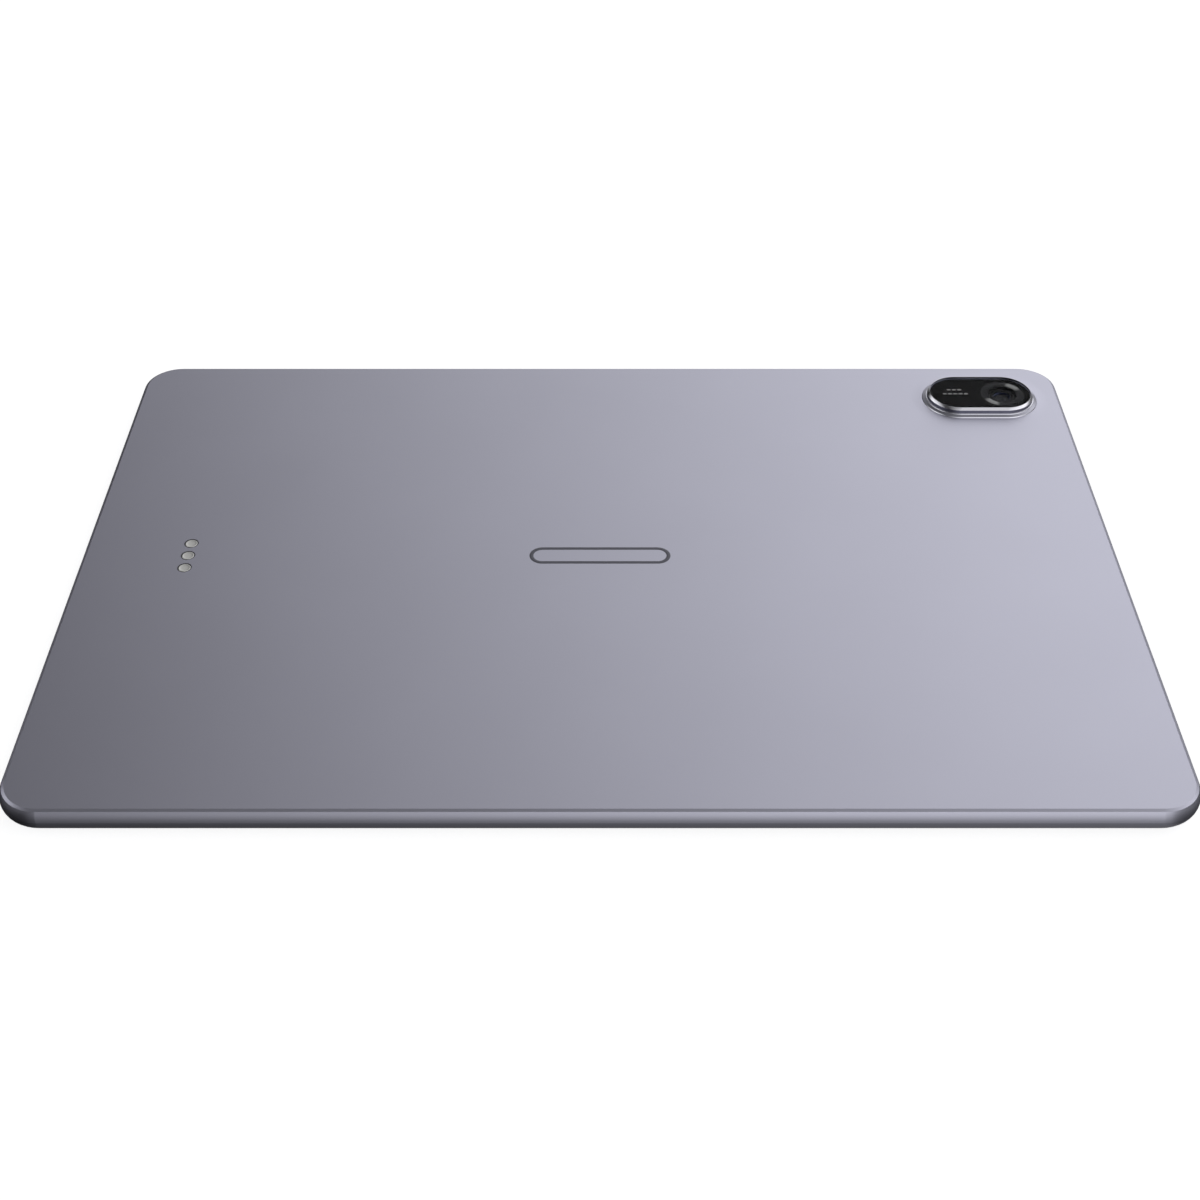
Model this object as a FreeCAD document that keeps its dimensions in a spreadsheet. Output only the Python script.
"""A slim tablet computer lying face down: metal rear cover, display stack, battery, boards and camera.

Frame: millimetres, +Z up. The origin is the centre of the front glass's outer face, which is what the
tablet lies on. X runs along the long side and Y along the short side. The rear camera is in the +X +Y
corner.
"""
import FreeCAD, Part
import math
import os
import Sketcher
from FreeCAD import Placement, Rotation, Vector

doc = FreeCAD.newDocument("Tablet")
sheet = doc.addObject("Spreadsheet::Sheet", "Dims")
sub_parts = []
pockets = []

# Driving dimensions: alias, millimetres, meaning.
DIMENSIONS = [
    ("body_length", 260.88, "outside length along X"),
    ("body_width", 176.82, "outside width along Y"),
    ("body_thick", 6.85, "front glass to flat back"),
    ("corner_radius", 10.1, "plan radius of the outside corners"),
    ("rim_widest_z", 3.96, "height of the rim's widest line"),
    ("rim_wall", 2.2, "rim's greatest wall"),
    ("chamfer_inset", 1.5, "back flat's edge, in from the outside"),
    ("chamfer_foot", 0.85, "foot of the back chamfer, in from the outside"),
    ("chamfer_drop", 0.31, "height of the back chamfer"),
    ("floor_thick", 0.8, "back plate"),
    ("floor_overlap", 3.4, "where the back plate takes over from the rim"),
    ("glass_inset", 2.65, "front glass's edge, in from the outside"),
    ("glass_thick", 0.7, "front glass"),
    ("glass_round", 0.4, "rounding of the front glass's edge"),
    ("view_length", 244.4, "visible display along X"),
    ("view_width", 160.0, "visible display along Y"),
    ("print_thick", 0.03, "black border print"),
    ("frame_z", 0.95, "underside of the plastic front frame"),
    ("frame_top", 2.7, "inner face of the plastic front frame"),
    ("frame_inset", 2.25, "front frame's outer edge"),
    ("frame_rail", 2.2, "width of the front frame's rail"),
    ("lip_z", 0.3, "front frame's lip beside the glass"),
    ("lip_wide", 0.35, "width of that lip"),
    ("panel_length", 247.6, "display panel along X"),
    ("panel_width", 164.0, "display panel along Y"),
    ("panel_z", 0.88, "display panel's front face"),
    ("panel_thick", 0.7, "display panel"),
    ("tray_length", 248.2, "backlight tray along X"),
    ("tray_width", 164.6, "backlight tray along Y"),
    ("tray_wall", 0.6, "backlight tray's wall"),
    ("tray_top", 2.65, "backlight tray's inner face"),
    ("cell_length", 92.0, "battery cell along X"),
    ("cell_width", 104.0, "battery cell along Y"),
    ("cell_thick", 3.0, "battery cell"),
    ("cell_z", 2.9, "battery cells' front face"),
    ("cell_gap", 4.0, "between the two cells"),
    ("cell_y", -28.0, "battery centre"),
    ("board_z", 4.4, "circuit boards' front face"),
    ("board_thick", 0.8, "circuit boards"),
    ("board_length", 110.0, "mainboard along X"),
    ("board_width", 46.0, "mainboard along Y"),
    ("board_x", 45.0, "mainboard centre"),
    ("board_y", 57.0, "mainboard centre"),
    ("screw_bore", 0.72, "radius of a screw boss's bore"),
    ("screw_core", 0.7, "radius of a screw's shank"),
    ("screw_head", 1.3, "radius of a screw's head"),
    ("boss_radius", 1.9, "screw boss"),
    ("island_x", 107.0, "camera window centre"),
    ("island_y", 71.2, "camera window centre"),
    ("window_length", 28.2, "camera window along X"),
    ("window_width", 15.6, "camera window along Y"),
    ("window_thick", 0.8, "camera window"),
    ("island_rise", 2.4, "camera window's face above the flat back"),
    ("plinth_margin", 2.3, "plinth's edge, out from the window's"),
    ("plinth_rise", 0.10, "plinth above the flat back"),
    ("plinth_flare", 2.7, "width of the hollow flare at the plinth's foot"),
    ("ring_foot", 2.0, "camera ring's lower wall, out from the window's edge"),
    ("ring_neck", 0.68, "camera ring's upper wall, out from the window's edge"),
    ("ring_step", 0.45, "height of the camera ring's lower wall"),
    ("ring_bevel", 0.55, "polished bevel at the camera ring's top"),
    ("ring_seat", 1.2, "width of the ledge that the camera window rests on"),
    ("lens_radius", 3.38, "autofocus lens barrel"),
    ("lens_bore", 3.45, "bore that the lens barrel slides in"),
    ("contact_x", -103.4, "folio contacts"),
    ("contact_pitch", 4.9, "folio contacts"),
    ("contact_radius", 1.5, "folio contact"),
    ("side_axis_z", 4.2, "height of the keys, grilles and microphones"),
    ("port_axis_z", 4.35, "height of the charging port"),
    ("port_length", 8.94, "charging port's shell, across"),
    ("port_height", 3.26, "charging port's shell"),
    ("port_wall", 0.3, "charging port's shell"),
    ("key_height", 2.2, "side keys"),
    ("key_proud", 0.35, "side keys stand out from the rim"),
    ("key_gap", 0.1, "clearance round the side keys"),
    ("power_x", 108.0, "power key centre"),
    ("power_length", 14.0, "power key"),
    ("volume_x", 82.0, "volume key centre"),
    ("volume_length", 24.0, "volume key"),
    ("mouth_bevel", 0.12, "bevel round every opening in the rim"),
    ("grille_radius", 0.6, "speaker holes"),
    ("grille_pitch", 2.0, "speaker holes"),
    ("speaker_y", 45.0, "speakers' centres, plus and minus"),
    ("speaker_length", 22.4, "speaker box along X"),
    ("speaker_width", 27.0, "speaker box along Y"),
]
GRILLE_HOLES = 12


class Size:
    """A length that carries its value and the sheet expression that drives it."""

    def __init__(self, value, text):
        self.value = value
        self.text = text

    def __add__(self, other):
        other = size(other)
        return Size(self.value + other.value, f"({self.text} + {other.text})")

    def __sub__(self, other):
        other = size(other)
        return Size(self.value - other.value, f"({self.text} - {other.text})")

    def __mul__(self, other):
        other = size(other)
        return Size(self.value * other.value, f"({self.text} * {other.text})")

    def __truediv__(self, other):
        other = size(other)
        return Size(self.value / other.value, f"({self.text} / {other.text})")

    def __rsub__(self, other):
        return size(other) - self

    def __neg__(self):
        return size(0) - self

    __radd__ = __add__
    __rmul__ = __mul__


def size(number):
    """A plain number as a Size; a Size stays as it is."""
    if isinstance(number, Size):
        return number
    return Size(float(number), f"({float(number)})")


def root(square):
    """The square root of a Size."""
    return Size(math.sqrt(square.value), f"sqrt({square.text})")


class Dims:
    """The sheet's cells by alias, as Sizes."""


def fill_sheet():
    """Writes the driving dimensions into the sheet."""
    for row, (alias, value, meaning) in enumerate(DIMENSIONS, start=1):
        sheet.set(f"A{row}", alias)
        sheet.set(f"B{row}", str(value))
        sheet.set(f"C{row}", meaning)
        sheet.setAlias(f"B{row}", alias)
        setattr(Dims, alias, Size(float(value), f"Dims.{alias}"))
    doc.recompute()


fill_sheet()
D = Dims


# ---------------------------------------------------------------- outlines in sketches

def pin_point(sketch, element, point, x, y):
    """Holds one point of a sketch element at (x, y)."""
    for kind, place in (("DistanceX", size(x)), ("DistanceY", size(y))):
        index = sketch.addConstraint(Sketcher.Constraint(kind, -1, 1, element, point, place.value))
        sketch.setExpression(f"Constraints[{index}]", place.text)


def set_radius(sketch, element, radius):
    """Gives an arc or circle its radius."""
    radius = size(radius)
    index = sketch.addConstraint(Sketcher.Constraint("Radius", element, radius.value))
    sketch.setExpression(f"Constraints[{index}]", radius.text)


def flat(x, y):
    """A sketch point from two Sizes or numbers."""
    return Vector(size(x).value, size(y).value, 0)


def polygon(*corners):
    """A closed outline through its corners."""
    def draw(sketch):
        first = sketch.GeometryCount
        count = len(corners)
        for index, corner in enumerate(corners):
            sketch.addGeometry(Part.LineSegment(flat(*corner), flat(*corners[(index + 1) % count])))
        for index, corner in enumerate(corners):
            following = first + (index + 1) % count
            sketch.addConstraint(Sketcher.Constraint("Coincident", first + index, 2, following, 1))
            pin_point(sketch, first + index, 1, *corner)
    return draw


def box(x, y, length, width):
    """A square-cornered rectangle centred on (x, y)."""
    x, y, length, width = size(x), size(y), size(length), size(width)
    left, right = x - length / 2, x + length / 2
    low, high = y - width / 2, y + width / 2
    return polygon((left, low), (right, low), (right, high), (left, high))


def arc(x, y, radius, start, end):
    """An arc for a sketch, from start to end in degrees."""
    circle = Part.Circle(flat(x, y), Vector(0, 0, 1), size(radius).value)
    return Part.ArcOfCircle(circle, math.radians(start), math.radians(end))


def rounded(x, y, length, width, radius):
    """A rectangle with round corners, centred on (x, y)."""
    x, y, length, width, radius = (size(each) for each in (x, y, length, width, radius))
    left, right = x - length / 2, x + length / 2
    low, high = y - width / 2, y + width / 2
    inner_left, inner_right = left + radius, right - radius
    inner_low, inner_high = low + radius, high - radius

    def draw(sketch):
        first = sketch.GeometryCount
        sketch.addGeometry([
            Part.LineSegment(flat(inner_left, low), flat(inner_right, low)),
            arc(inner_right, inner_low, radius, 270, 360),
            Part.LineSegment(flat(right, inner_low), flat(right, inner_high)),
            arc(inner_right, inner_high, radius, 0, 90),
            Part.LineSegment(flat(inner_right, high), flat(inner_left, high)),
            arc(inner_left, inner_high, radius, 90, 180),
            Part.LineSegment(flat(left, inner_high), flat(left, inner_low)),
            arc(inner_left, inner_low, radius, 180, 270),
        ])
        for index in range(8):
            following = first + (index + 1) % 8
            sketch.addConstraint(Sketcher.Constraint("Tangent", first + index, 2, following, 1))
        for index, kind in ((0, "Horizontal"), (2, "Vertical"), (4, "Horizontal"), (6, "Vertical")):
            sketch.addConstraint(Sketcher.Constraint(kind, first + index))
        for index in (3, 5, 7):
            sketch.addConstraint(Sketcher.Constraint("Equal", first + 1, first + index))
        pin_point(sketch, first + 1, 3, inner_right, inner_low)
        pin_point(sketch, first + 5, 3, inner_left, inner_high)
        set_radius(sketch, first + 1, radius)
    return draw


def disc(x, y, radius):
    """A circle."""
    def draw(sketch):
        index = sketch.addGeometry(Part.Circle(flat(x, y), Vector(0, 0, 1), size(radius).value))
        pin_point(sketch, index, 3, x, y)
        set_radius(sketch, index, radius)
    return draw


def slot(x, y, length, width):
    """A pill outline along the sketch's first axis, centred on (x, y)."""
    x, y, length, radius = size(x), size(y), size(length), size(width) / 2
    left, right = x - length / 2 + radius, x + length / 2 - radius

    def draw(sketch):
        first = sketch.GeometryCount
        sketch.addGeometry([
            Part.LineSegment(flat(left, y - radius), flat(right, y - radius)),
            arc(right, y, radius, 270, 450),
            Part.LineSegment(flat(right, y + radius), flat(left, y + radius)),
            arc(left, y, radius, 90, 270),
        ])
        for index in range(4):
            following = first + (index + 1) % 4
            sketch.addConstraint(Sketcher.Constraint("Tangent", first + index, 2, following, 1))
        pin_point(sketch, first + 1, 3, right, y)
        pin_point(sketch, first + 3, 3, left, y)
        sketch.addConstraint(Sketcher.Constraint("Equal", first + 1, first + 3))
        set_radius(sketch, first + 1, radius)
    return draw


def chain(corners, bends):
    """A closed outline; bends gives the stretches that are arcs, as {stretch: (centre, held axis)}."""
    count = len(corners)

    def draw(sketch):
        ends = []
        for index, here in enumerate(corners):
            there = corners[(index + 1) % count]
            if index not in bends:
                element = sketch.addGeometry(Part.LineSegment(flat(*here), flat(*there)))
                ends.append((element, 1, 2))
                continue
            centre, held = bends[index]
            middle = flat(*centre)
            spokes = [flat(*each) - middle for each in (here, there)]
            start, end = (math.degrees(math.atan2(spoke.y, spoke.x)) for spoke in spokes)
            anticlockwise = (end - start) % 360 < 180
            first, last = (start, end) if anticlockwise else (end, start)
            turn = (last - first) % 360
            element = sketch.addGeometry(arc(*centre, spokes[0].Length, first, first + turn))
            ends.append((element, 1, 2) if anticlockwise else (element, 2, 1))
            place = size(centre[0] if held == "DistanceX" else centre[1])
            number = sketch.addConstraint(Sketcher.Constraint(held, -1, 1, element, 3, place.value))
            sketch.setExpression(f"Constraints[{number}]", place.text)
        for index, corner in enumerate(corners):
            element, start, end = ends[index]
            following, opening, _ = ends[(index + 1) % count]
            sketch.addConstraint(Sketcher.Constraint("Coincident", element, end, following, opening))
            pin_point(sketch, element, start, *corner)
    return draw


# ---------------------------------------------------------------- solids

def new_body(label, x=0, y=0, z=0):
    """A sub-part, placed in the tablet's frame."""
    body = doc.addObject("PartDesign::Body", label)
    body.Label = label
    for axis, place in zip("xyz", (x, y, z)):
        body.setExpression(f"Placement.Base.{axis}", size(place).text)
    sub_parts.append(body)
    return body


def new_sketch(body, offset, outlines, role="XY_Plane"):
    """A sketch on one of the body's planes, moved along that plane's normal."""
    sketch = body.newObject("Sketcher::SketchObject", "Outline")
    plane = next(each for each in body.Origin.OriginFeatures if each.Role == role)
    sketch.AttachmentSupport = (plane, [""])
    sketch.MapMode = "FlatFace"
    sketch.setExpression("AttachmentOffset.Base.z", size(offset).text)
    for outline in outlines:
        outline(sketch)
    return sketch


def layer(body, offset, thick, *outlines, role="XY_Plane"):
    """Adds a slab on the plane's normal side: up on XY, +X on YZ, -Y on XZ."""
    sketch = new_sketch(body, offset, outlines, role)
    pad = body.newObject("PartDesign::Pad", "Slab")
    pad.Profile = sketch
    pad.setExpression("Length", size(thick).text)
    return pad


def hollow(body, offset, depth, *outlines):
    """Cuts down from the height offset."""
    sketch = new_sketch(body, offset, outlines)
    pocket = body.newObject("PartDesign::Pocket", "Hollow")
    pocket.Profile = sketch
    pocket.setExpression("Length", size(depth).text)
    pockets.append(pocket)
    return pocket


def side_hollow(body, role, offset, reach, *outlines):
    """Cuts sideways, half of reach to each side of the plane."""
    sketch = new_sketch(body, offset, outlines, role)
    pocket = body.newObject("PartDesign::Pocket", "SideHollow")
    pocket.Profile = sketch
    pocket.SideType = "Symmetric"
    pocket.setExpression("Length", size(reach).text)
    pockets.append(pocket)
    return pocket


def sweep(body, path, profile):
    """Adds a profile carried round a closed path."""
    pipe = body.newObject("PartDesign::AdditivePipe", "Sweep")
    pipe.Profile = profile
    pipe.Spine = (path, [])
    return pipe


def edges_at(feature, height, wanted=None):
    """The names of a feature's edges that lie flat at one height, or those of them that are wanted."""
    names = []
    for number, edge in enumerate(feature.Shape.Edges, start=1):
        bounds = edge.BoundBox
        level = abs(bounds.ZMin - height) < 0.001 and abs(bounds.ZMax - height) < 0.001
        if level and (wanted is None or wanted(edge)):
            names.append(f"Edge{number}")
    return names


def soften(body, feature, names, amount, kind="PartDesign::Fillet"):
    """Rounds or bevels the named edges of a feature."""
    dressing = body.newObject(kind, "Edge")
    dressing.Base = (feature, names)
    dressing.setExpression("Size" if kind.endswith("Chamfer") else "Radius", size(amount).text)
    return dressing


def plate(label, x, y, z, thick, *outlines):
    """A flat sub-part."""
    body = new_body(label, x, y, z)
    layer(body, 0, thick, *outlines)
    return body


def inset(distance):
    """The tablet's plan outline, moved in from the outside."""
    distance = size(distance)
    length, width = D.body_length - distance * 2, D.body_width - distance * 2
    return rounded(0, 0, length, width, D.corner_radius - distance)


def window_outline(margin, x=0, y=0):
    """The camera window's pill outline, moved out by a margin."""
    margin = size(margin)
    return slot(x, y, D.window_length + margin * 2, D.window_width + margin * 2)


# ---------------------------------------------------------------- places that sub-parts share

half_length = D.body_length / 2
half_width = D.body_width / 2
floor_z = D.body_thick - D.floor_thick
plinth_top = D.body_thick + D.plinth_rise
window_z = D.body_thick + D.island_rise - D.window_thick
lens_x = D.island_x + D.window_length / 2 - D.window_width / 2
print_z = D.glass_thick
bond_z = D.glass_thick + D.print_thick
board_back = D.board_z + D.board_thick
inner_x = half_length - D.rim_wall
inner_y = half_width - D.rim_wall
FRONT_CAMERA_Y = 84.2
SENSOR_NOTCH_X = 3.0
SENSOR_NOTCH_LENGTH = 12.0
LIGHT_SENSOR_X = 7.0
PORT_BOARD_X = -117.0
LENS_BOARD_THICK = 0.4
LENS_BOARD_Z = 2.95
CONTACT_FLEX_Z = 5.63
FLEX_THICK = 0.12
MICROPHONES = (-30.0, 55.0)
SPEAKER_SIDES = {"near_left": (-1, -1), "near_right": (1, -1), "far_left": (-1, 1), "far_right": (1, 1)}


def screw_places():
    """The board screws: four in the mainboard's corners, two in the port board."""
    reach_x, reach_y = D.board_length / 2 - 4, D.board_width / 2 - 4
    corners = [(D.board_x + reach_x * i, D.board_y + reach_y * j) for i in (-1, 1) for j in (-1, 1)]
    return corners + [(size(PORT_BOARD_X + 1), size(7.5 * side)) for side in (-1, 1)]


def contact_places():
    """The three folio contacts, in the frame of their own row."""
    return [(size(0), D.contact_pitch * step) for step in (-1, 0, 1)]


# ---------------------------------------------------------------- rear cover

def cover_rim(body):
    """The rounded rim, its section carried round the plan outline."""
    path = new_sketch(body, 0, [inset(0)])
    widest, wall = D.rim_widest_z, D.rim_wall
    shoulder_z = D.body_thick - D.chamfer_drop
    rise = shoulder_z - widest
    upper_radius = (D.chamfer_foot * D.chamfer_foot + rise * rise) / (D.chamfer_foot * 2)
    lip_end_z = widest - root(widest * widest - (widest - wall) * (widest - wall))
    corners = [
        (half_length - D.chamfer_inset, D.body_thick),
        (half_length - D.chamfer_foot, shoulder_z),
        (half_length, widest),
        (half_length - wall, lip_end_z),
        (half_length - wall, floor_z),
        (half_length - D.floor_overlap, floor_z),
        (half_length - D.floor_overlap, D.body_thick),
    ]
    bends = {
        1: ((half_length - upper_radius, widest), "DistanceY"),
        2: ((half_length - widest, widest), "DistanceY"),
    }
    start_y = half_width - D.corner_radius
    section = new_sketch(body, start_y, [chain(corners, bends)], "XZ_Plane")
    sweep(body, path, section)


def cover_plinth(body):
    """The low plinth round the camera ring, with a hollow flare down to the flat back."""
    path = new_sketch(body, D.body_thick, [window_outline(0, D.island_x, D.island_y)])
    edge = D.island_y - D.window_width / 2
    margin, flare, rise = D.plinth_margin, D.plinth_flare, D.plinth_rise
    foot = edge - margin - flare
    flare_radius = (flare * flare + rise * rise) / (rise * 2)
    buried = D.body_thick - D.floor_thick / 2
    corners = [
        (edge + D.ring_seat, buried),
        (edge + D.ring_seat, plinth_top),
        (edge - margin, plinth_top),
        (foot, D.body_thick),
        (foot, buried),
    ]
    bends = {2: ((foot, D.body_thick + flare_radius), "DistanceX")}
    start_x = D.island_x - D.window_length / 2 + D.window_width / 2
    section = new_sketch(body, start_x, [chain(corners, bends)], "YZ_Plane")
    sweep(body, path, section)


def cover_openings(body):
    """Everything that goes through the cover: camera, contacts, keys, port, speakers and microphones."""
    clear = 0.1
    hollow(body, plinth_top + clear, D.floor_thick + D.plinth_rise + clear * 2,
           window_outline(-D.ring_seat, D.island_x, D.island_y))
    contact_hole = D.contact_radius + 0.3
    hollow(body, D.body_thick + clear, D.floor_thick + clear * 2,
           *[disc(D.contact_x + x, y, contact_hole) for x, y in contact_places()])
    reach = D.rim_wall + 1.3
    middle_x, middle_y = half_length - D.rim_wall / 2, half_width - D.rim_wall / 2
    key_tall = D.key_height + D.key_gap * 2
    grille = [disc(D.speaker_y * side + D.grille_pitch * (step - (GRILLE_HOLES - 1) / 2),
                   D.side_axis_z, D.grille_radius)
              for side in (-1, 1) for step in range(GRILLE_HOLES)]
    port_hole = slot(0, D.port_axis_z, D.port_length + 0.36, D.port_height + 0.24)
    side_hollow(body, "YZ_Plane", middle_x, reach, *grille)
    side_hollow(body, "YZ_Plane", -middle_x, reach, port_hole, *grille)
    keys = ((D.power_x, D.power_length), (D.volume_x, D.volume_length))
    key_holes = [slot(x, D.side_axis_z, length + D.key_gap * 2, key_tall) for x, length in keys]
    microphone_holes = [disc(x, D.side_axis_z, 0.4) for x in MICROPHONES]
    return side_hollow(body, "XZ_Plane", -middle_y, reach, *key_holes, *microphone_holes)


def mouth_edges(feature):
    """The edges where the rim's openings break through its outside."""
    skin = 0.7
    names = []
    for number, edge in enumerate(feature.Shape.Edges, start=1):
        middle = edge.CenterOfMass
        if not 2.0 < middle.z < 6.4:
            continue
        on_end = abs(middle.x) > half_length.value - skin and abs(middle.y) < 60
        on_far_side = middle.y > half_width.value - skin and abs(middle.x) < 118
        if on_end or on_far_side:
            names.append(f"Edge{number}")
    return names


def rear_cover():
    """One piece: rim, back plate, screw bosses and camera plinth."""
    body = new_body("rear_cover")
    cover_rim(body)
    layer(body, floor_z, D.floor_thick, inset(D.floor_overlap - 0.6))
    root_depth = 0.15
    layer(body, board_back, floor_z - board_back + root_depth,
          *[disc(x, y, D.boss_radius) for x, y in screw_places()])
    bore_top = floor_z + 0.3
    hollow(body, bore_top, bore_top - board_back + 0.1,
           *[disc(x, y, D.screw_bore) for x, y in screw_places()])
    cover_plinth(body)
    last = cover_openings(body)
    doc.recompute()
    soften(body, last, mouth_edges(last), D.mouth_bevel, "PartDesign::Chamfer")


# ---------------------------------------------------------------- front glass and display

def cover_glass():
    body = new_body("cover_glass")
    slab = layer(body, 0, D.glass_thick, inset(D.glass_inset))
    doc.recompute()
    soften(body, slab, edges_at(slab, 0), D.glass_round)


def front_frame():
    """Plastic frame that holds the glass: a rail under it and a thin lip beside it."""
    body = new_body("front_frame")
    layer(body, D.frame_z, D.frame_top - D.frame_z, inset(D.frame_inset), inset(D.frame_inset + D.frame_rail))
    layer(body, D.lip_z, D.frame_z - D.lip_z, inset(D.frame_inset), inset(D.frame_inset + D.lip_wide))
    notch_width = 3.0
    notch_far = half_width - D.frame_inset - 0.15
    hollow(body, D.frame_top, D.frame_top - D.frame_z,
           box(SENSOR_NOTCH_X, notch_far - notch_width / 2, SENSOR_NOTCH_LENGTH, notch_width))


def display_stack():
    """The bonded layers from the border print to the display panel."""
    edge = D.glass_inset + 0.1
    holes = [disc(0, FRONT_CAMERA_Y, 1.1), disc(LIGHT_SENSOR_X, FRONT_CAMERA_Y, 0.6)]
    plate("border_print", 0, 0, print_z, D.print_thick,
          inset(edge), rounded(0, 0, D.view_length, D.view_width, 1.5), *holes)
    bond = plate("glass_adhesive", 0, 0, bond_z, D.frame_z - bond_z,
                 inset(D.frame_inset + 0.55), inset(D.frame_inset + D.frame_rail - 0.05))
    hollow(bond, D.frame_z - bond_z, D.frame_z - bond_z,
           box(SENSOR_NOTCH_X, FRONT_CAMERA_Y + 0.5, SENSOR_NOTCH_LENGTH, 4.0))
    plate("optical_adhesive", 0, 0, bond_z, D.panel_z - bond_z,
          rounded(0, 0, D.view_length + 1.6, D.view_width + 2, 1.5))
    plate("display_panel", 0, 0, D.panel_z, D.panel_thick,
          rounded(0, 0, D.panel_length, D.panel_width, 1.5))


def backlight():
    """Tray, films, light guide, reflector and the strip of light sources along the near edge."""
    tray_z = D.panel_z + D.panel_thick
    inner_length = D.tray_length - D.tray_wall * 2
    inner_width = D.tray_width - D.tray_wall * 2
    base_thick = 0.2
    tray = new_body("backlight_tray", 0, 0, tray_z)
    wall_height = D.tray_top - base_thick - tray_z
    layer(tray, 0, wall_height, rounded(0, 0, D.tray_length, D.tray_width, 1.5),
          rounded(0, 0, inner_length, inner_width, 1.0))
    layer(tray, wall_height, base_thick, rounded(0, 0, D.tray_length, D.tray_width, 1.5))
    film_length, film_width = inner_length - 0.4, inner_width - 0.4
    film_thick, guide_thick, reflector_thick = 0.2, 0.55, 0.1
    film_z = tray_z + 0.02
    strip_width = 1.6
    guide_z = film_z + film_thick
    plate("film_stack", 0, 0, film_z, film_thick, rounded(0, 0, film_length, film_width, 0.8))
    plate("light_guide", 0, strip_width / 2, guide_z, guide_thick,
          rounded(0, 0, film_length, film_width - strip_width, 0.8))
    plate("reflector_sheet", 0, 0, guide_z + guide_thick, reflector_thick,
          rounded(0, 0, film_length, film_width, 0.8))
    strip_y = -film_width / 2 + strip_width / 2 - 0.1
    plate("backlight_strip", 0, strip_y, guide_z + 0.02, guide_thick - 0.05,
          box(0, 0, film_length - 6, strip_width - 0.4))


def display_flex():
    """Ribbon from the panel's far edge, up past the tray and in under the mainboard."""
    body = new_body("display_flex", 20)
    outer, panel_edge = D.panel_width / 2 + 0.92, D.panel_width / 2
    low, high, reach = 1.0, 3.0, 74.0
    layer(body, 0, 40, polygon(
        (panel_edge, low), (outer, low), (outer, high), (reach, high),
        (reach, high - FLEX_THICK), (outer - FLEX_THICK, high - FLEX_THICK),
        (outer - FLEX_THICK, low + FLEX_THICK), (panel_edge, low + FLEX_THICK)), role="YZ_Plane")


# ---------------------------------------------------------------- battery

def battery():
    """Two pouch cells, their tapes, the protection board and its ribbon."""
    offset = (D.cell_length + D.cell_gap) / 2
    tape_z = D.cell_z + D.cell_thick
    for name, side in (("left", -1), ("right", 1)):
        plate(f"battery_cell_{name}", offset * side, D.cell_y, D.cell_z, D.cell_thick,
              rounded(0, 0, D.cell_length, D.cell_width, 2.5))
    strip = D.cell_length / 4
    plate("battery_tape", 0, D.cell_y, tape_z, floor_z - tape_z,
          *[box(offset * side + strip * step, 0, strip - 4, D.cell_width - 10)
            for side in (-1, 1) for step in (-1, 1)])
    board_y = D.cell_y + D.cell_width / 2 + 3.0
    plate("battery_board", 0, board_y, D.board_z, D.board_thick, box(0, 0, 60, 5))
    plate("battery_flex", 20, board_y + 6.5, D.board_z - FLEX_THICK, FLEX_THICK, box(0, 0, 14, 10))


# ---------------------------------------------------------------- boards

def boards():
    """Mainboard and port board, with what is soldered to them."""
    hole = D.screw_core + 0.1
    holes = [disc(x, y, hole) for x, y in screw_places()]
    plate("mainboard", 0, 0, D.board_z, D.board_thick,
          rounded(D.board_x, D.board_y, D.board_length, D.board_width, 1.5), *holes[:4])
    plate("port_board", 0, 0, D.board_z, D.board_thick,
          rounded(PORT_BOARD_X, 0, 10, 20, 1.0), *holes[4:])
    chip_y = D.board_y + 1
    processor_thick, memory_thick, power_thick = 1.1, 1.0, 0.9
    plate("processor", 30, chip_y, D.board_z - processor_thick, processor_thick, rounded(0, 0, 15, 15, 0.4))
    plate("memory_chips", 0, chip_y, D.board_z - memory_thick, memory_thick,
          *[rounded(x, 0, 12, 14, 0.4) for x in (50, 66)])
    plate("power_chips", 88, 0, D.board_z - power_thick, power_thick,
          *[rounded(0, y, 8, 8, 0.4) for y in (48, 61)])
    shield_gap = 0.15
    sheet_thick = 0.2
    shield_z = D.board_z - processor_thick - shield_gap - sheet_thick
    shield = plate("board_shield", 46, chip_y, shield_z, sheet_thick, rounded(0, 0, 66, 26, 1.0))
    layer(shield, sheet_thick, D.board_z - shield_z - sheet_thick,
          rounded(0, 0, 66, 26, 1.0), rounded(0, 0, 65.6, 25.6, 0.8))
    plate("thermal_pad", 30, chip_y, shield_z + sheet_thick, shield_gap, rounded(0, 0, 14, 14, 0.4))
    plate("graphite_sheet", D.board_x, D.board_y, floor_z - 0.1, 0.1, rounded(0, 0, 90, 28, 2.0))


def connectors():
    """Ribbon and aerial sockets on both boards, one group of separate blocks."""
    body = new_body("board_connectors")
    main_flex_top, display_flex_top, aerial_top = 2.82, 3.0, 2.85
    layer(body, main_flex_top, D.board_z - main_flex_top, box(-115, 0, 4, 8), box(2, 40, 4, 7))
    layer(body, display_flex_top, D.board_z - display_flex_top, box(40, 77, 20, 3), box(-8, 70, 3, 3))
    layer(body, aerial_top, 1.5, box(-69, 80.5, 3, 3))
    layer(body, board_back, CONTACT_FLEX_Z - board_back, box(-113.5, 0, 3, 5))


def ribbons():
    """Flat cables between the boards and the contacts."""
    plate("main_flex", 0, 0, D.frame_top, FLEX_THICK, polygon(
        (-118, -5), (-98, -5), (-98, 36), (5, 36), (5, 44), (-104, 44), (-104, 5), (-118, 5)))
    plate("contact_flex", 0, 0, CONTACT_FLEX_Z, FLEX_THICK, polygon(
        (-115, -3), (-106, -3), (-106, -8), (-100.8, -8), (-100.8, 8), (-106, 8), (-106, 3), (-115, 3)))


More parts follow.
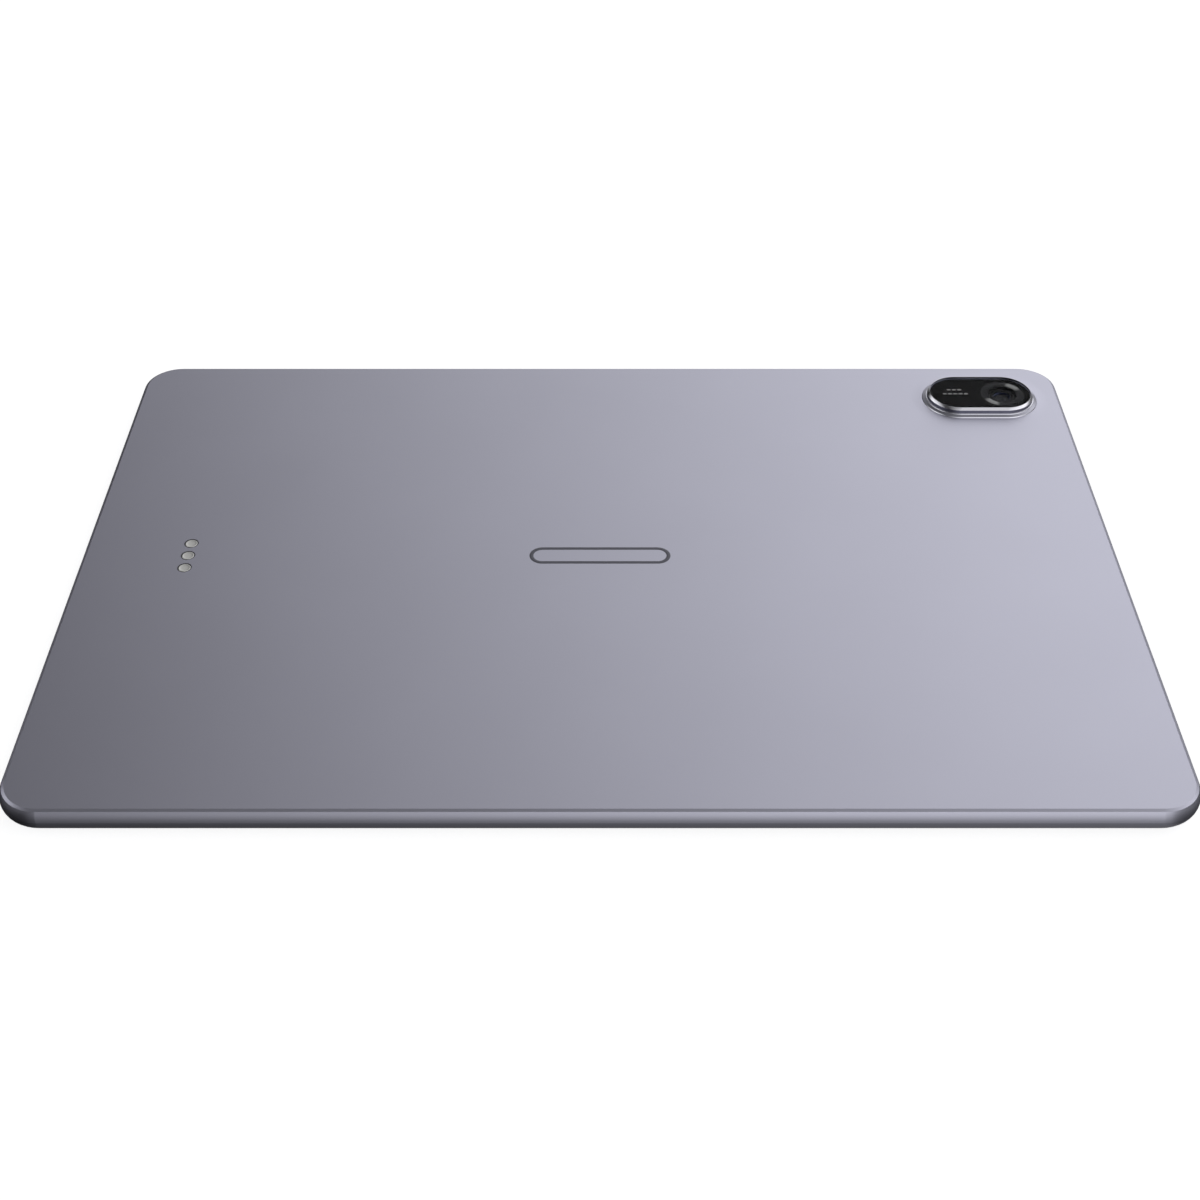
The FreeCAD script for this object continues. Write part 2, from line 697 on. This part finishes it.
def antenna_strips():
    """Printed aerials on the front frame's far rail; the left one has a foot for its lead."""
    far, near, foot = 86.0, 84.1, 79.5
    plate("antenna_strips", 0, 0, D.frame_top, 0.15,
          polygon((-100, near), (-72, near), (-72, foot), (-66, foot), (-66, near),
                  (-40, near), (-40, far), (-100, far)),
          box(43.5, (far + near) / 2, 57, far - near))


def antenna_lead():
    """Thin coaxial lead from the mainboard's corner socket to the left aerial's foot."""
    radius = 0.4
    height = 3.6
    route = [Vector(-9.5, 70, height), Vector(-30, 70, height), Vector(-42, 80.5, height),
             Vector(-67.5, 80.5, height)]
    edges = []
    start = route[0]
    for before, corner, after in zip(route, route[1:], route[2:]):
        back, on = (before - corner), (after - corner)
        half_turn = (math.pi - back.getAngle(on)) / 2
        run = min(back.Length, on.Length)
        bend = 0.45 * run / math.tan(half_turn)
        print("antenna_lead bend radius", round(bend, 2))
        back.normalize()
        on.normalize()
        cut = bend * math.tan(half_turn)
        middle = (back + on).normalize() * (bend / math.cos(half_turn) - bend)
        arc_start, arc_end = corner + back * cut, corner + on * cut
        edges.append(Part.LineSegment(start, arc_start).toShape())
        edges.append(Part.Arc(arc_start, corner + middle, arc_end).toShape())
        start = arc_end
    edges.append(Part.LineSegment(start, route[-1]).toShape())
    path = Part.Wire(edges)
    section = Part.Wire(Part.Circle(route[0], Vector(1, 0, 0), radius).toShape())
    lead = doc.addObject("Part::Feature", "antenna_lead")
    lead.Label = "antenna_lead"
    lead.Shape = path.makePipeShell([section], True, False)
    lead.Placement = Placement(Vector(0, 0, 0), Rotation())
    sub_parts.append(lead)
    print("antenna_lead volume", lead.Shape.Volume, "expected", math.pi * radius ** 2 * path.Length)


def fasteners():
    """The board screws, one group."""
    body = new_body("board_screws")
    head_thick = 0.5
    places = screw_places()
    layer(body, D.board_z - head_thick, head_thick, *[disc(x, y, D.screw_head) for x, y in places])
    layer(body, D.board_z, 1.85, *[disc(x, y, D.screw_core) for x, y in places])
    drive_depth = 0.3
    drives = [disc(x, y, 0.5) for x, y in places]
    hollow(body, D.board_z - head_thick + drive_depth, drive_depth + 0.1, *drives)


def magnets():
    """Folio magnets along both long edges, one group."""
    near = [box(x, -83.0, 10, 3) for x in (-100, -75, -50, -25, 25, 50, 75, 100)]
    far = [box(x, 83.0, 10, 3) for x in (-110, -85, -45)]
    plate("folio_magnets", 0, 0, 4.0, 1.6, *near, *far)


# ---------------------------------------------------------------- sound

def speakers():
    """Four speaker boxes facing the short sides, the meshes behind the holes, and two microphones."""
    box_z, box_tall = 2.9, 3.0
    centre_x = inner_x - 0.9 - D.speaker_length / 2
    for name, (side_x, side_y) in SPEAKER_SIDES.items():
        body = new_body(f"speaker_{name}", centre_x * side_x, D.speaker_y * side_y, box_z)
        layer(body, 0, box_tall, rounded(0, 0, D.speaker_length, D.speaker_width, 1.5))
        hollow(body, box_tall, 0.4, rounded(0, 0, 16, 21, 4))
        slot = box(0, D.side_axis_z - box_z, 22, 1.6)
        side_hollow(body, "YZ_Plane", D.speaker_length / 2 * side_x, 4.0, slot)
    mesh_thick, mesh_z, mesh_tall = 0.25, 3.2, 2.0
    plate("speaker_meshes", 0, 0, mesh_z, mesh_tall,
          *[box((inner_x - 0.15) * side_x, D.speaker_y * side_y, mesh_thick, 25)
            for side_x, side_y in SPEAKER_SIDES.values()])
    plate("microphones", 0, inner_y - 0.75, mesh_z, mesh_tall, *[box(x, 0, 3, 1.2) for x in MICROPHONES])


# ---------------------------------------------------------------- charging port

def charging_port():
    """A standard reversible port: pressed shell, and the tongue on its back block."""
    mouth = 0.54
    depth = 7.0
    mouth_x = mouth - half_length
    back_thick = 1.0
    opening_length = D.port_length - D.port_wall * 2
    opening_height = D.port_height - D.port_wall * 2
    shell = new_body("usb_port_shell", mouth_x, 0, D.port_axis_z)
    layer(shell, 0, depth, slot(0, 0, D.port_length, D.port_height),
          slot(0, 0, opening_length, opening_height), role="YZ_Plane")
    tongue = new_body("usb_port_tongue", mouth_x, 0, D.port_axis_z)
    layer(tongue, depth - back_thick, back_thick, slot(0, 0, opening_length, opening_height), role="YZ_Plane")
    layer(tongue, 1.0, depth - back_thick - 0.5, box(0, 0, 6.69, 0.7), role="YZ_Plane")


# ---------------------------------------------------------------- side keys

def side_key(label, x, length, posts):
    """A key in the far side of the rim: a pill cap, a flange that keeps it in, and posts for its switches."""
    flange_y, face_y = inner_y - 0.46, half_width + D.key_proud
    flange_thick, overlap = 0.45, 0.1
    post_tip = flange_y - 1.1
    key = new_body(label, x, 0, D.side_axis_z)
    layer(key, -flange_y, flange_thick, box(0, 0, length + 3, D.key_height + 0.3), role="XZ_Plane")
    layer(key, overlap - flange_y, flange_y - overlap - post_tip, *[box(post, 0, 2, 1.4) for post in posts],
          role="XZ_Plane")
    cap = layer(key, -face_y, face_y - flange_y + overlap, slot(0, 0, length, D.key_height), role="XZ_Plane")
    doc.recompute()
    outer_edges = [f"Edge{number}" for number, edge in enumerate(cap.Shape.Edges, start=1)
                   if edge.BoundBox.YMin > face_y.value - 0.001]
    soften(key, cap, outer_edges, 0.2)


def side_keys():
    """The power key slides onto one switch, and the volume key rocks about its middle onto two."""
    volume_post = 8
    side_key("power_button", D.power_x, D.power_length, [0])
    side_key("volume_rocker", D.volume_x, D.volume_length, [-volume_post, volume_post])
    switch_y, switch_z, switch_size = inner_y - 2.91, D.side_axis_z - 1.1, 2.0
    plate("power_switch", D.power_x, switch_y, switch_z, switch_size, box(0, 0, 4, switch_size))
    plate("volume_switches", D.volume_x, switch_y, switch_z, switch_size,
          *[box(post, 0, 4, switch_size) for post in (-volume_post, volume_post)])
    bracket_z, bracket_tall, bracket_thick = 2.9, 2.7, 0.6
    plate("key_bracket", (D.power_x + D.volume_x) / 2, switch_y - switch_size / 2 - bracket_thick / 2,
          bracket_z, bracket_tall, box(0, 0, 46, bracket_thick))
    plate("side_key_flex", (D.power_x + D.volume_x) / 2, switch_y - 2.6, bracket_z + bracket_tall, FLEX_THICK,
          box(0, 0, 44, 3.2))


# ---------------------------------------------------------------- rear camera

def camera_island():
    """The stepped metal ring with a polished bevel, its glass window and the print behind the glass."""
    ring = new_body("camera_ring", D.island_x, D.island_y, plinth_top)
    seat = window_z - D.print_thick - plinth_top
    top = D.body_thick + D.island_rise - 0.03 - plinth_top
    throat = window_outline(-D.ring_seat)
    layer(ring, 0, D.ring_step, window_outline(D.ring_foot), throat)
    layer(ring, D.ring_step, seat - D.ring_step, window_outline(D.ring_neck), throat)
    crown = layer(ring, seat, top - seat, window_outline(D.ring_neck), window_outline(0.03))
    doc.recompute()
    reach = (D.window_length / 2 + D.ring_neck).value - 0.01
    low = (D.window_width / 2 + D.ring_neck).value - 0.01
    outer = edges_at(crown, top.value, lambda edge: edge.BoundBox.XMax > reach or edge.BoundBox.XMin < -reach
                     or abs(edge.BoundBox.YMin) > low or abs(edge.BoundBox.YMax) > low)
    soften(ring, crown, outer, D.ring_bevel, "PartDesign::Chamfer")
    window = new_body("camera_window", D.island_x, D.island_y, window_z)
    pane = layer(window, 0, D.window_thick, window_outline(0))
    doc.recompute()
    soften(window, pane, edges_at(pane, D.window_thick.value), 0.12)
    plate("window_print", D.island_x, D.island_y, window_z - D.print_thick, D.print_thick,
          window_outline(-0.1), disc(lens_x - D.island_x, 0, 6.2))


def camera_module():
    """Board, sensor, housing, trim ring, and the barrel and lens that focus by sliding along Z."""
    side = 9.5
    board = rounded(0, 0, 17, side, 0.5)
    plate("camera_board", lens_x - 3.75, D.island_y, LENS_BOARD_Z, LENS_BOARD_THICK, board)
    sensor_z = LENS_BOARD_Z + LENS_BOARD_THICK
    plate("image_sensor", lens_x, D.island_y, sensor_z, 0.5, box(0, 0, 6.4, 4.8))
    housing = new_body("camera_housing", lens_x, D.island_y, sensor_z)
    skirt = 0.95
    housing_tall = 4.55
    layer(housing, 0, skirt, rounded(0, 0, side, side, 0.8), box(0, 0, 7.4, 7.4))
    layer(housing, skirt, housing_tall - skirt, rounded(0, 0, side, side, 0.8), disc(0, 0, D.lens_bore))
    trim_z = sensor_z + housing_tall
    trim_top = window_z - D.print_thick - 0.02
    plate("lens_trim", lens_x, D.island_y, trim_z, trim_top - trim_z, disc(0, 0, 6.3), disc(0, 0, 3.6))
    barrel_z = 4.5
    barrel = new_body("lens_barrel", lens_x, D.island_y, barrel_z)
    for bottom, thick, bore in ((0, 1.9, 2.2), (1.9, 0.95, 2.65), (2.85, 0.5, 2.4)):
        layer(barrel, bottom, thick, disc(0, 0, D.lens_radius), disc(0, 0, bore))
    lens_glass(barrel_z + 1.92)


def lens_glass(z):
    """A plano-convex front lens."""
    body = new_body("lens_glass", lens_x, D.island_y, z)
    radius, edge, crown = 2.6, 0.5, 0.4
    dome = (radius ** 2 + crown ** 2) / (2 * crown)
    corners = [(0, 0), (radius, 0), (radius, edge), (0, edge + crown)]
    section = new_sketch(body, 0, [chain(corners, {2: ((0, edge + crown - dome), "DistanceX")})], "XZ_Plane")
    turning = body.newObject("PartDesign::Revolution", "Turn")
    turning.Profile = section
    turning.ReferenceAxis = (section, ["V_Axis"])
    turning.Angle = 360


def front_sensors():
    """The front camera and the light sensor, behind their windows in the border print."""
    camera_z = 1.0
    camera = new_body("front_camera", 0, FRONT_CAMERA_Y, camera_z)
    layer(camera, 0, 3.4, rounded(0, 0, 5.0, 3.4, 0.4))
    layer(camera, -0.22, 0.3, disc(0, 0, 1.0))
    plate("light_sensor", LIGHT_SENSOR_X, FRONT_CAMERA_Y, D.frame_z, 0.8, box(0, 0, 2.4, 1.8))


# ---------------------------------------------------------------- folio contacts

def folio_contacts():
    """Three spring-side contacts in their insulating bushes, flush with the flat back."""
    base_z = CONTACT_FLEX_Z + FLEX_THICK
    sunk = 0.03
    pads = new_body("contact_pads", D.contact_x, 0, base_z)
    layer(pads, 0, D.body_thick - sunk - base_z, *[disc(x, y, D.contact_radius) for x, y in contact_places()])
    flange_z, flange = floor_z - 0.2, 2.2
    bush = new_body("contact_bushes", D.contact_x, 0, flange_z)
    bores = [disc(x, y, D.contact_radius) for x, y in contact_places()]
    layer(bush, 0, floor_z - flange_z, *[disc(x, y, flange) for x, y in contact_places()], *bores)
    layer(bush, floor_z - flange_z, D.floor_thick - sunk,
          *[disc(x, y, D.contact_radius + 0.28) for x, y in contact_places()], *bores)


# ---------------------------------------------------------------- build, check and write

def check():
    """Stops if any object failed, any cut missed, or any sub-part's shape is empty or invalid."""
    for item in doc.Objects:
        if "Invalid" in item.State or "Error" in item.State:
            raise RuntimeError(f"{item.Name} of {item.Label} failed: {item.State}")
    for pocket in pockets:
        if pocket.Shape.Volume > pocket.BaseFeature.Shape.Volume - 0.001:
            raise RuntimeError(f"{pocket.Name} cuts nothing")
    for part in sub_parts:
        if part.Shape.isNull() or not part.Shape.isValid():
            raise RuntimeError(f"{part.Label} has no valid shape")


def write():
    """One STEP file for each sub-part."""
    os.makedirs("parts", exist_ok=True)
    for part in sub_parts:
        part.Shape.exportStep(f"parts/{part.Label}.step")
        print(part.Label, len(part.Shape.Solids), round(part.Shape.Volume, 2))


MAKERS = [rear_cover, cover_glass, front_frame, display_stack, backlight, display_flex, battery, boards,
          connectors, ribbons, antenna_strips, antenna_lead, fasteners, magnets, speakers, charging_port,
          side_keys, camera_island, camera_module, front_sensors, folio_contacts]
for make in MAKERS:
    make()
doc.recompute()
check()
write()
